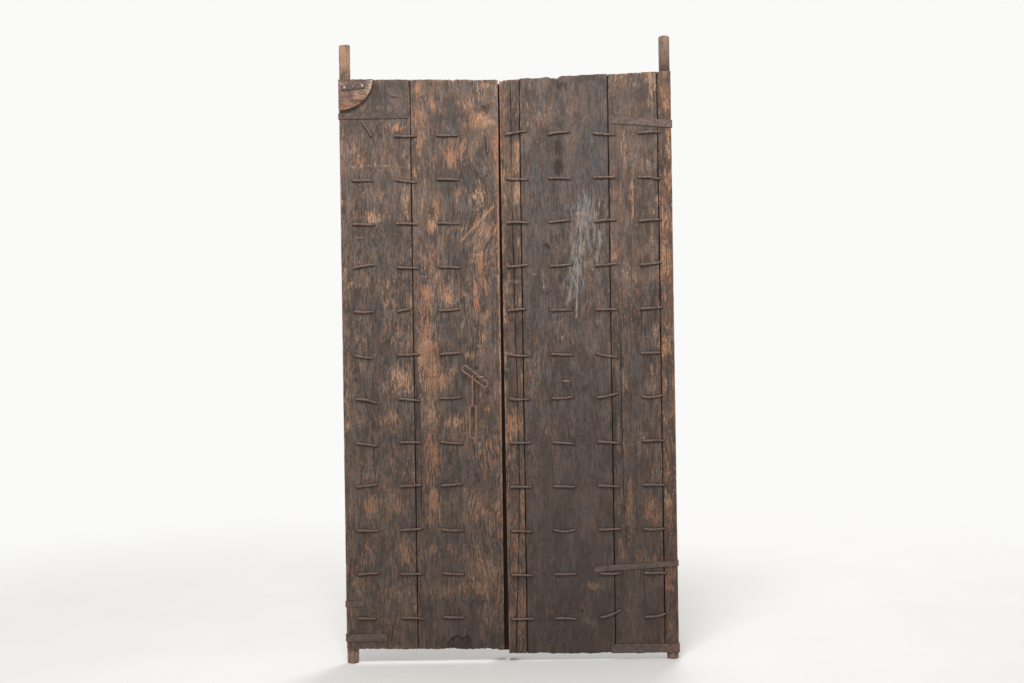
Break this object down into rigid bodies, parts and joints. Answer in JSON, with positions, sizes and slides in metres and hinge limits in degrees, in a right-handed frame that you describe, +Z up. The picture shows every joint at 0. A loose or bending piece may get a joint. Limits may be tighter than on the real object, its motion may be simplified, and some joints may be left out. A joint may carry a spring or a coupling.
{
  "type": "carved teak door",
  "caption": "Old pair of teak plank door leaves on turned pivots, with rails, clinched iron nails, straps and a chain latch.",
  "frame": {"origin": "centre of the end face of the right leaf's foot pivot, which is the lowest point of the doors", "axes": "+Z up along the right leaf's pivot line, -Y towards the plain inner face with the clinched nails and the chain, -X from the right leaf's pivots to the left leaf's"},
  "size_m": [1.1561, 0.117, 2.16],
  "materials": {
    "teak": "dark weathered teak, worn orange along the grain",
    "smooth_teak": "darker, smoother teak",
    "rail_teak": "dark weathered teak",
    "pale_teak": "paler bare teak",
    "nail_iron": "wrought iron, brown rust",
    "strap_iron": "thin wrought iron, brown rust",
    "chain_iron": "wrought iron, redder rust, worn bright at the staple"
  },
  "bodies": {
    "right_leaf": {"right_meeting_plank": "teak", "right_middle_plank": "smooth_teak", "right_outer_plank": "teak", "right_pivot_stile": "teak", "meeting_cover_strip": "rail_teak", "right_top_strap": "strap_iron", "right_low_strap": "strap_iron", "right_foot_strap": "strap_iron", "right_nails": "nail_iron", "right_strap_nails": "nail_iron", "right_staple": "chain_iron", "right_rail_01": "rail_teak", "right_rail_02": "rail_teak", "right_rail_03": "rail_teak", "right_rail_04": "rail_teak", "right_rail_05": "rail_teak", "right_rail_06": "rail_teak", "right_rail_07": "rail_teak", "right_rail_08": "rail_teak", "right_rail_09": "rail_teak", "right_rail_10": "rail_teak", "right_rail_11": "rail_teak", "right_rail_12": "rail_teak"},
    "left_leaf": {"left_outer_plank": "teak", "left_inner_plank": "teak", "left_corner_board": "pale_teak", "left_corner_strap": "strap_iron", "left_top_strap": "strap_iron", "left_low_strap": "strap_iron", "left_foot_strap": "strap_iron", "left_nails": "nail_iron", "left_bent_nail": "nail_iron", "left_strap_nails": "nail_iron", "left_staple": "chain_iron", "left_rail_01": "rail_teak", "left_rail_02": "rail_teak", "left_rail_03": "rail_teak", "left_rail_04": "rail_teak", "left_rail_05": "rail_teak", "left_rail_06": "rail_teak", "left_rail_07": "rail_teak", "left_rail_08": "rail_teak", "left_rail_09": "rail_teak", "left_rail_10": "rail_teak", "left_rail_11": "rail_teak", "left_rail_12": "rail_teak"},
    "upper_link_body": {"upper_link": "chain_iron"},
    "middle_link_body": {"middle_link": "chain_iron"},
    "lower_link_body": {"lower_link": "chain_iron"}
  },
  "joints": [
    {"name": "left_leaf_swing", "type": "hinge", "parent": "right_leaf", "child": "left_leaf", "pos_m": [-1.1105, 0, 0], "axis": [0, 0, -1], "range_deg": [0, 100]},
    {"name": "upper_link_turn", "type": "hinge", "parent": "left_leaf", "child": "upper_link_body", "pos_m": [-0.653, -0.0388, 0.98625], "axis": [0, 1, 0], "range_deg": [0, 50]},
    {"name": "middle_link_turn", "type": "hinge", "parent": "upper_link_body", "child": "middle_link_body", "pos_m": [-0.68115, -0.0388, 0.98286], "axis": [0, 1, 0], "range_deg": [0, 60]},
    {"name": "lower_link_turn", "type": "hinge", "parent": "middle_link_body", "child": "lower_link_body", "pos_m": [-0.68115, -0.0395, 0.88407], "axis": [0, 1, 0], "range_deg": [-60, 60]}
  ]
}
